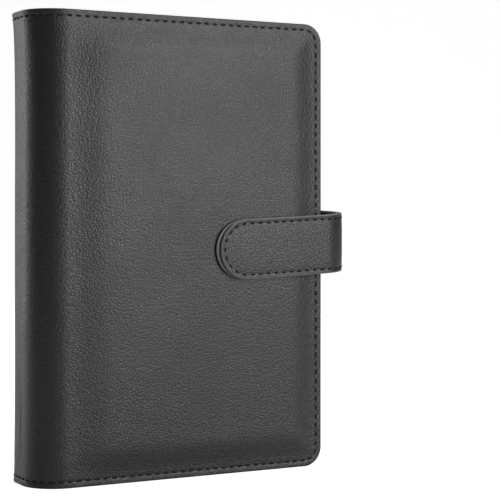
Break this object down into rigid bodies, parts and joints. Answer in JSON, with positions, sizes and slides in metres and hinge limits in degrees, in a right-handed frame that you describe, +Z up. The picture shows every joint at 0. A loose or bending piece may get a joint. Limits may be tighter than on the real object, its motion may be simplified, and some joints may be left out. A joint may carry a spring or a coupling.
{
  "type": "banknote album",
  "caption": "Black padded leatherette album with ring mechanism, clear banknote sleeves, card pockets, pen loop and a magnetic strap; covers, strap and rings open.",
  "frame": {"origin": "middle of the whole album's box, on the surface that it stands on", "axes": "+X from the spine towards the fore-edge and the strap's bend, +Y from the front cover towards the back cover, +Z up along the spine"},
  "size_m": [0.1442, 0.042, 0.188],
  "materials": {
    "leather": "fine pebble grain, semi-matte",
    "lining_leather": "fine grain, matte",
    "padding": "foam",
    "board": "grey board",
    "chrome": "polished",
    "magnet_steel": "satin",
    "clear_film": "clear, glossy",
    "note_paper": "printed, matte"
  },
  "bodies": {
    "spine": {"spine_skin": "leather", "spine_foam": "padding", "spine_board": "board", "spine_lining": "lining_leather", "ring_base_plate": "chrome", "plate_rivet_1": "chrome", "plate_rivet_2": "chrome"},
    "front_cover": {"front_cover_skin": "leather", "front_cover_foam": "padding", "front_cover_board": "board", "front_cover_lining": "lining_leather", "cover_magnet": "magnet_steel", "slip_panel": "lining_leather", "card_pocket_1": "lining_leather", "card_pocket_2": "lining_leather", "card_pocket_3": "lining_leather", "pen_loop": "leather"},
    "back_cover": {"back_cover_skin": "leather", "back_cover_foam": "padding", "back_cover_board": "board", "back_cover_lining": "lining_leather"},
    "strap": {"strap_outer": "leather", "strap_lining": "leather", "strap_magnet": "magnet_steel"},
    "ring_front": {"front_rail": "chrome", "front_half_ring_1": "chrome", "front_half_ring_2": "chrome", "front_half_ring_3": "chrome", "front_half_ring_4": "chrome", "front_half_ring_5": "chrome", "front_half_ring_6": "chrome"},
    "ring_back": {"back_rail": "chrome", "back_half_ring_1": "chrome", "back_half_ring_2": "chrome", "back_half_ring_3": "chrome", "back_half_ring_4": "chrome", "back_half_ring_5": "chrome", "back_half_ring_6": "chrome"},
    "front_sleeves": {"sleeve_1": "clear_film", "note_1": "note_paper"},
    "rear_sleeves": {"sleeve_2": "clear_film", "sleeve_3": "clear_film", "sleeve_4": "clear_film", "sleeve_5": "clear_film", "sleeve_6": "clear_film", "sleeve_7": "clear_film", "sleeve_8": "clear_film", "note_2": "note_paper", "note_3": "note_paper", "note_4": "note_paper", "note_5": "note_paper", "note_6": "note_paper", "note_7": "note_paper", "note_8": "note_paper"}
  },
  "joints": [
    {"name": "front_cover_hinge", "type": "hinge", "parent": "spine", "child": "front_cover", "pos_m": [-0.0691, -0.0135, 0.094], "axis": [0, 0, -1], "range_deg": [0, 90]},
    {"name": "back_cover_hinge", "type": "hinge", "parent": "spine", "child": "back_cover", "pos_m": [-0.0691, 0.0165, 0.094], "axis": [0, 0, 1], "range_deg": [0, 90]},
    {"name": "strap_hinge", "type": "hinge", "parent": "back_cover", "child": "strap", "pos_m": [0.05669, 0.0201, 0.096], "axis": [0, 0, 1], "range_deg": [0, 90], "deforming": ["strap_outer", "strap_lining", "strap_magnet"]},
    {"name": "ring_front_hinge", "type": "hinge", "parent": "spine", "child": "ring_front", "pos_m": [-0.06596, -0.007, 0.094], "axis": [0, 0, -1], "range_deg": [0, 7]},
    {"name": "ring_back_hinge", "type": "hinge", "parent": "spine", "child": "ring_back", "pos_m": [-0.06596, 0.01, 0.094], "axis": [0, 0, 1], "range_deg": [0, 7]},
    {"name": "front_sleeves_hinge", "type": "hinge", "parent": "spine", "child": "front_sleeves", "pos_m": [-0.0543, 0.0015, 0.094], "axis": [0, 0, -1], "range_deg": [0, 90]},
    {"name": "rear_sleeves_hinge", "type": "hinge", "parent": "spine", "child": "rear_sleeves", "pos_m": [-0.0543, 0.0015, 0.094], "axis": [0, 0, 1], "range_deg": [0, 95]}
  ],
  "couplings": [
    {"joint": "ring_back_hinge", "follows": "ring_front_hinge", "ratio": 1},
    {"joint": "front_sleeves_hinge", "follows": "front_cover_hinge", "ratio": 1},
    {"joint": "rear_sleeves_hinge", "follows": "back_cover_hinge", "ratio": 1.05}
  ]
}
